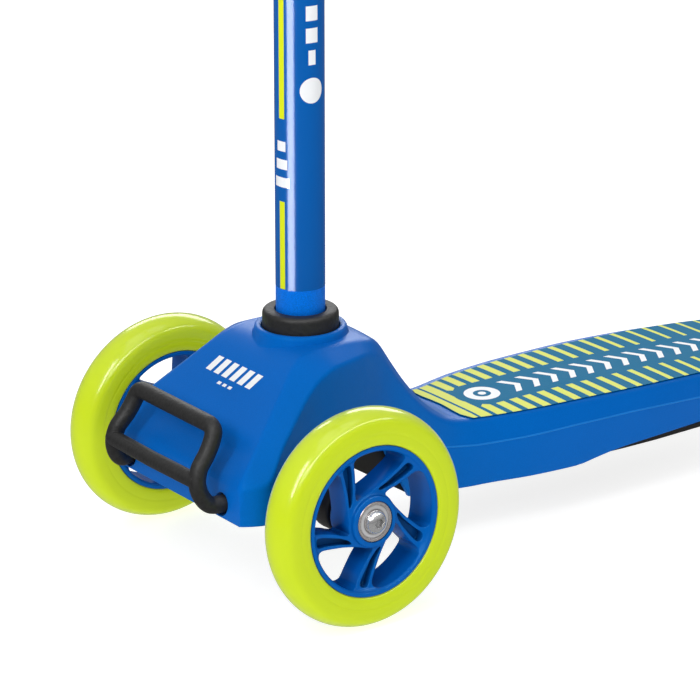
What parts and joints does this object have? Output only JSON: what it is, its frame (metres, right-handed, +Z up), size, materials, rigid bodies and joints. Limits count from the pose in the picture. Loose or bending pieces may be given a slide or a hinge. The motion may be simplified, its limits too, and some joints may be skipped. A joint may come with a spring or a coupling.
{
  "type": "kick scooter",
  "caption": "Small lean-to-steer kick scooter: moulded hood and deck, two cambered front wheels on a sprung truck, a rear wheel with a foot brake, and a telescopic T-bar column.",
  "frame": {"origin": "on the ground, at the middle of the overall width and length", "axes": "+Z up, -Y forward (towards the two front wheels), +X to the scooter's left"},
  "size_m": [0.276, 0.5594, 0.668],
  "materials": {
    "bar_end_left": "moulded",
    "bar_end_right": "moulded",
    "brake_fender": "satin",
    "brake_hinge_pin": "bright plated",
    "brake_spring": "ground",
    "centring_spring_left": "elastomer",
    "centring_spring_right": "elastomer",
    "clamp_bolt": "bright plated",
    "clamp_lever": "satin",
    "column_collar": "satin",
    "column_tube": "painted, with a glossy film above its foot",
    "deck_grip_mat": "printed sheet, teal with lime stripes",
    "deck_shell": "satin moulded",
    "front_left_axle_bolt": "bright plated",
    "front_left_bearing_inner": "ground",
    "front_left_bearing_outer": "ground",
    "front_left_bearing_spacer": "ground",
    "front_left_hub": "moulded",
    "front_left_tyre": "cast polyurethane, slightly translucent",
    "front_right_axle_bolt": "bright plated",
    "front_right_bearing_inner": "ground",
    "front_right_bearing_outer": "ground",
    "front_right_bearing_spacer": "ground",
    "front_right_hub": "moulded",
    "front_right_tyre": "cast polyurethane, slightly translucent",
    "grip_left": "ribbed",
    "grip_right": "ribbed",
    "handlebar": "bright plated tube",
    "height_clamp": "satin",
    "pivot_bolt": "bright plated",
    "pivot_nut": "bright plated",
    "rear_axle_bolt": "bright plated",
    "rear_axle_nut": "bright plated",
    "rear_bearing_left": "ground",
    "rear_bearing_right": "ground",
    "rear_bearing_spacer": "ground",
    "rear_fork": "satin moulded",
    "rear_hub": "moulded",
    "rear_tyre": "cast polyurethane, slightly translucent",
    "release_bail": "satin",
    "release_latch": "ground",
    "tray_screw_1": "bright plated",
    "tray_screw_2": "bright plated",
    "tray_screw_3": "bright plated",
    "tray_screw_4": "bright plated",
    "truck_base": "satin moulded",
    "truck_hanger": "satin",
    "underside_tray": "satin moulded"
  },
  "bodies": {
    "base": {"deck_shell": "deck_shell", "deck_grip_mat": "deck_grip_mat", "underside_tray": "underside_tray", "tray_screw_1": "tray_screw_1", "tray_screw_2": "tray_screw_2", "tray_screw_3": "tray_screw_3", "tray_screw_4": "tray_screw_4", "truck_base": "truck_base", "pivot_bolt": "pivot_bolt", "pivot_nut": "pivot_nut", "centring_spring_left": "centring_spring_left", "centring_spring_right": "centring_spring_right", "column_collar": "column_collar", "column_tube": "column_tube", "height_clamp": "height_clamp", "clamp_bolt": "clamp_bolt", "rear_fork": "rear_fork", "rear_axle_bolt": "rear_axle_bolt", "rear_axle_nut": "rear_axle_nut", "rear_bearing_spacer": "rear_bearing_spacer", "brake_hinge_pin": "brake_hinge_pin", "brake_spring": "brake_spring"},
    "truck": {"truck_hanger": "truck_hanger", "front_left_axle_bolt": "front_left_axle_bolt", "front_right_axle_bolt": "front_right_axle_bolt", "front_left_bearing_spacer": "front_left_bearing_spacer", "front_right_bearing_spacer": "front_right_bearing_spacer"},
    "front_left_wheel": {"front_left_tyre": "front_left_tyre", "front_left_hub": "front_left_hub", "front_left_bearing_outer": "front_left_bearing_outer", "front_left_bearing_inner": "front_left_bearing_inner"},
    "front_right_wheel": {"front_right_tyre": "front_right_tyre", "front_right_hub": "front_right_hub", "front_right_bearing_outer": "front_right_bearing_outer", "front_right_bearing_inner": "front_right_bearing_inner"},
    "rear_wheel": {"rear_tyre": "rear_tyre", "rear_hub": "rear_hub", "rear_bearing_left": "rear_bearing_left", "rear_bearing_right": "rear_bearing_right"},
    "brake": {"brake_fender": "brake_fender"},
    "bail": {"release_bail": "release_bail"},
    "latch": {"release_latch": "release_latch"},
    "bar": {"handlebar": "handlebar", "grip_left": "grip_left", "grip_right": "grip_right", "bar_end_left": "bar_end_left", "bar_end_right": "bar_end_right"},
    "lever": {"clamp_lever": "clamp_lever"}
  },
  "joints": [
    {"name": "truck_steer", "type": "hinge", "parent": "base", "child": "truck", "pos_m": [0, -0.20465, 0.0668], "axis": [0, -0.8443, 0.5358], "range_deg": [-12, 12], "stiffness_Nm_per_rad": 20, "deforming": ["centring_spring_left", "centring_spring_right"]},
    {"name": "front_left_spin", "type": "hinge", "parent": "truck", "child": "front_left_wheel", "pos_m": [0.09525, -0.20465, 0.06], "axis": [0.999, 0, 0.0454], "continuous": true},
    {"name": "front_right_spin", "type": "hinge", "parent": "truck", "child": "front_right_wheel", "pos_m": [-0.09525, -0.20465, 0.06], "axis": [0.999, 0, -0.0454], "continuous": true},
    {"name": "rear_spin", "type": "hinge", "parent": "base", "child": "rear_wheel", "pos_m": [0, 0.23335, 0.04], "axis": [1, 0, 0], "continuous": true},
    {"name": "height_slide", "type": "slide", "parent": "base", "child": "bar", "axis": [0, 0, 1], "range_m": [0, 0.12]},
    {"name": "clamp_lever_turn", "type": "hinge", "parent": "base", "child": "lever", "pos_m": [0, -0.20215, 0.48], "axis": [-1, 0, 0], "range_deg": [0, 110]},
    {"name": "brake_press", "type": "hinge", "parent": "base", "child": "brake", "pos_m": [0, 0.19385, 0.063], "axis": [-1, 0, 0], "range_deg": [0, 4], "stiffness_Nm_per_rad": 1.5, "springref_deg": -5.73},
    {"name": "bail_pull", "type": "hinge", "parent": "base", "child": "bail", "pos_m": [0, -0.25265, 0.066], "axis": [1, 0, 0], "range_deg": [0, 6], "stiffness_Nm_per_rad": 1, "springref_deg": -5.73},
    {"name": "latch_slide", "type": "slide", "parent": "base", "child": "latch", "axis": [0, -1, 0], "range_m": [0, 0.003]}
  ],
  "couplings": [
    {"joint": "latch_slide", "follows": "bail_pull", "m_per_rad": 0.0285}
  ]
}
